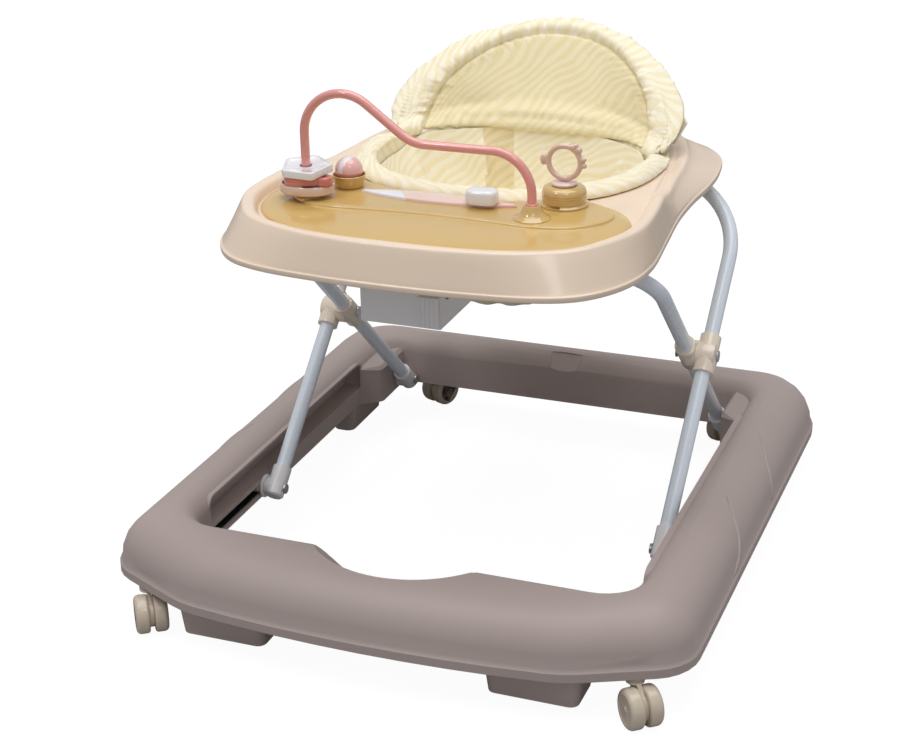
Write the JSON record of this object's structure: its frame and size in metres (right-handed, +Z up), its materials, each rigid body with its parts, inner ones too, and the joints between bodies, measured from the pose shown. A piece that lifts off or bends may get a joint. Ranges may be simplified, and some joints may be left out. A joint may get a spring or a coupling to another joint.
{
  "type": "baby walker",
  "caption": "Folding baby walker: moulded base ring on swivel casters, crossed tube legs, height lever, tray with play panel, fabric seat with backrest.",
  "frame": {"origin": "on the floor under the middle of the base ring", "axes": "+Z up, -Y the way the child faces (the toy tray is at the front), +X the side on the viewer's right when looking at the front"},
  "size_m": [0.612, 0.6947, 0.5271],
  "materials": {
    "base_plastic": "satin",
    "rail_black": "matt",
    "steel": "satin",
    "caster_cream": "semi-gloss",
    "tube_paint": "gloss",
    "cap_white": "semi-gloss",
    "coupler_peach": "gloss",
    "tray_peach": "semi-gloss",
    "panel_mustard": "gloss",
    "toy_white": "gloss",
    "toy_pink": "gloss",
    "toy_pale_pink": "gloss",
    "toy_salmon": "gloss",
    "toy_tan": "semi-gloss",
    "housing_grey": "satin",
    "seat_fabric": "soft",
    "board_grey": "satin"
  },
  "bodies": {
    "base": {"base_shell": "base_plastic", "front_stopper_pads": "base_plastic", "rear_stopper_pads": "base_plastic", "left_slide_rail": "rail_black", "right_slide_rail": "rail_black", "caster_bushes": "steel", "leg_pivot_pins": "steel"},
    "front_left_caster": {"front_left_fork": "caster_cream", "front_left_pins": "steel"},
    "front_left_wheel_pair": {"front_left_wheels": "caster_cream"},
    "front_right_caster": {"front_right_fork": "caster_cream", "front_right_pins": "steel"},
    "front_right_wheel_pair": {"front_right_wheels": "caster_cream"},
    "rear_left_caster": {"rear_left_fork": "caster_cream", "rear_left_pins": "steel"},
    "rear_left_wheel_pair": {"rear_left_wheels": "caster_cream"},
    "rear_right_caster": {"rear_right_fork": "caster_cream", "rear_right_pins": "steel"},
    "rear_right_wheel_pair": {"rear_right_wheels": "caster_cream"},
    "inner_frame": {"inner_leg_frame": "tube_paint", "inner_leg_caps": "cap_white", "inner_couplers": "coupler_peach", "adjuster_sleeve": "rail_black"},
    "outer_frame": {"outer_leg_frame": "tube_paint", "outer_leg_caps": "cap_white", "outer_couplers": "coupler_peach", "coupler_rivets": "steel", "shoe_pins": "steel"},
    "left_shoe": {"left_slide_shoe": "cap_white"},
    "right_shoe": {"right_slide_shoe": "cap_white"},
    "tray": {"tray_shell": "tray_peach", "tube_clamps": "cap_white", "clamp_screws": "steel", "adjuster_housing": "housing_grey", "adjuster_rack": "rail_black", "lever_spring": "steel", "activity_panel": "panel_mustard", "leaf_track": "toy_white", "leaf_inlay": "toy_pale_pink", "ball_cup": "panel_mustard", "bead_foot": "panel_mustard", "bead_tube": "toy_pink", "tube_collar": "panel_mustard", "ribbed_dome": "panel_mustard", "seat_rim": "seat_fabric", "seat_bag": "seat_fabric", "backrest_cushion": "seat_fabric", "backrest_board": "board_grey"},
    "lever": {"adjuster_lever": "cap_white"},
    "knob": {"slider_knob": "toy_white"},
    "ball": {"spinning_ball": "toy_white"},
    "rattle": {"dome_disc": "toy_pale_pink", "ring_rattle": "toy_tan"},
    "oval": {"oval_bead": "toy_tan"},
    "slab": {"slab_bead": "toy_salmon"},
    "pentagon": {"pentagon_bead": "toy_white"}
  },
  "joints": [
    {"name": "front_left_swivel", "type": "hinge", "parent": "base", "child": "front_left_caster", "pos_m": [-0.256, -0.29447, 0.043], "axis": [0, 0, 1], "continuous": true},
    {"name": "front_left_roll", "type": "hinge", "parent": "front_left_caster", "child": "front_left_wheel_pair", "pos_m": [-0.24797, -0.30594, 0.02], "axis": [0.8192, 0.5736, 0], "continuous": true},
    {"name": "front_right_swivel", "type": "hinge", "parent": "base", "child": "front_right_caster", "pos_m": [0.256, -0.29447, 0.043], "axis": [0, 0, 1], "continuous": true},
    {"name": "front_right_roll", "type": "hinge", "parent": "front_right_caster", "child": "front_right_wheel_pair", "pos_m": [0.265, -0.3052, 0.02], "axis": [0.766, 0.6428, 0], "continuous": true},
    {"name": "rear_left_swivel", "type": "hinge", "parent": "base", "child": "rear_left_caster", "pos_m": [-0.187, 0.3115, 0.043], "axis": [0, 0, 1], "continuous": true},
    {"name": "rear_left_roll", "type": "hinge", "parent": "rear_left_caster", "child": "rear_left_wheel_pair", "pos_m": [-0.18176, 0.32448, 0.02], "axis": [-0.9272, 0.3746, 0], "continuous": true},
    {"name": "rear_right_swivel", "type": "hinge", "parent": "base", "child": "rear_right_caster", "pos_m": [0.187, 0.3115, 0.043], "axis": [0, 0, 1], "continuous": true},
    {"name": "rear_right_roll", "type": "hinge", "parent": "rear_right_caster", "child": "rear_right_wheel_pair", "pos_m": [0.19224, 0.32448, 0.02], "axis": [-0.9272, 0.3746, 0], "continuous": true},
    {"name": "fold", "type": "hinge", "parent": "base", "child": "inner_frame", "pos_m": [0, 0.26, 0.056], "axis": [1, 0, 0], "range_deg": [0, 33]},
    {"name": "cross_pivot", "type": "hinge", "parent": "inner_frame", "child": "outer_frame", "pos_m": [0, 0.09411, 0.20801], "axis": [1, 0, 0], "range_deg": [-66, 0]},
    {"name": "tray_pivot", "type": "hinge", "parent": "outer_frame", "child": "tray", "pos_m": [0, 0.25631, 0.35664], "axis": [1, 0, 0], "range_deg": [0, 33]},
    {"name": "left_shoe_pivot", "type": "hinge", "parent": "outer_frame", "child": "left_shoe", "pos_m": [-0.233, -0.07178, 0.056], "axis": [1, 0, 0], "range_deg": [0, 33]},
    {"name": "right_shoe_pivot", "type": "hinge", "parent": "outer_frame", "child": "right_shoe", "pos_m": [0.233, -0.07178, 0.056], "axis": [1, 0, 0], "range_deg": [0, 33]},
    {"name": "lever_slide", "type": "slide", "parent": "tray", "child": "lever", "axis": [0, 0, -1], "range_m": [0, 0.006], "stiffness_N_per_m": 600, "springref_m": -0.002, "deforming": ["lever_spring"]},
    {"name": "knob_slide", "type": "slide", "parent": "tray", "child": "knob", "axis": [-1, 0, 0], "range_m": [0, 0.084]},
    {"name": "ball_spin", "type": "hinge", "parent": "tray", "child": "ball", "pos_m": [-0.112, -0.08, 0.43464], "axis": [0, 0, 1], "continuous": true},
    {"name": "rattle_spin", "type": "hinge", "parent": "tray", "child": "rattle", "pos_m": [0.112, -0.07, 0.43664], "axis": [0, 0, 1], "continuous": true},
    {"name": "oval_spin", "type": "hinge", "parent": "tray", "child": "oval", "pos_m": [-0.14, -0.12, 0.42464], "axis": [0, 0, 1], "continuous": true},
    {"name": "slab_spin", "type": "hinge", "parent": "tray", "child": "slab", "pos_m": [-0.14, -0.12, 0.43364], "axis": [0, 0, 1], "continuous": true},
    {"name": "pentagon_slide", "type": "slide", "parent": "tray", "child": "pentagon", "axis": [0, 0, 1], "range_m": [0, 0.03]}
  ],
  "couplings": [
    {"joint": "cross_pivot", "follows": "fold", "ratio": -2},
    {"joint": "tray_pivot", "follows": "fold", "ratio": 1},
    {"joint": "left_shoe_pivot", "follows": "fold", "ratio": 1},
    {"joint": "right_shoe_pivot", "follows": "fold", "ratio": 1}
  ]
}
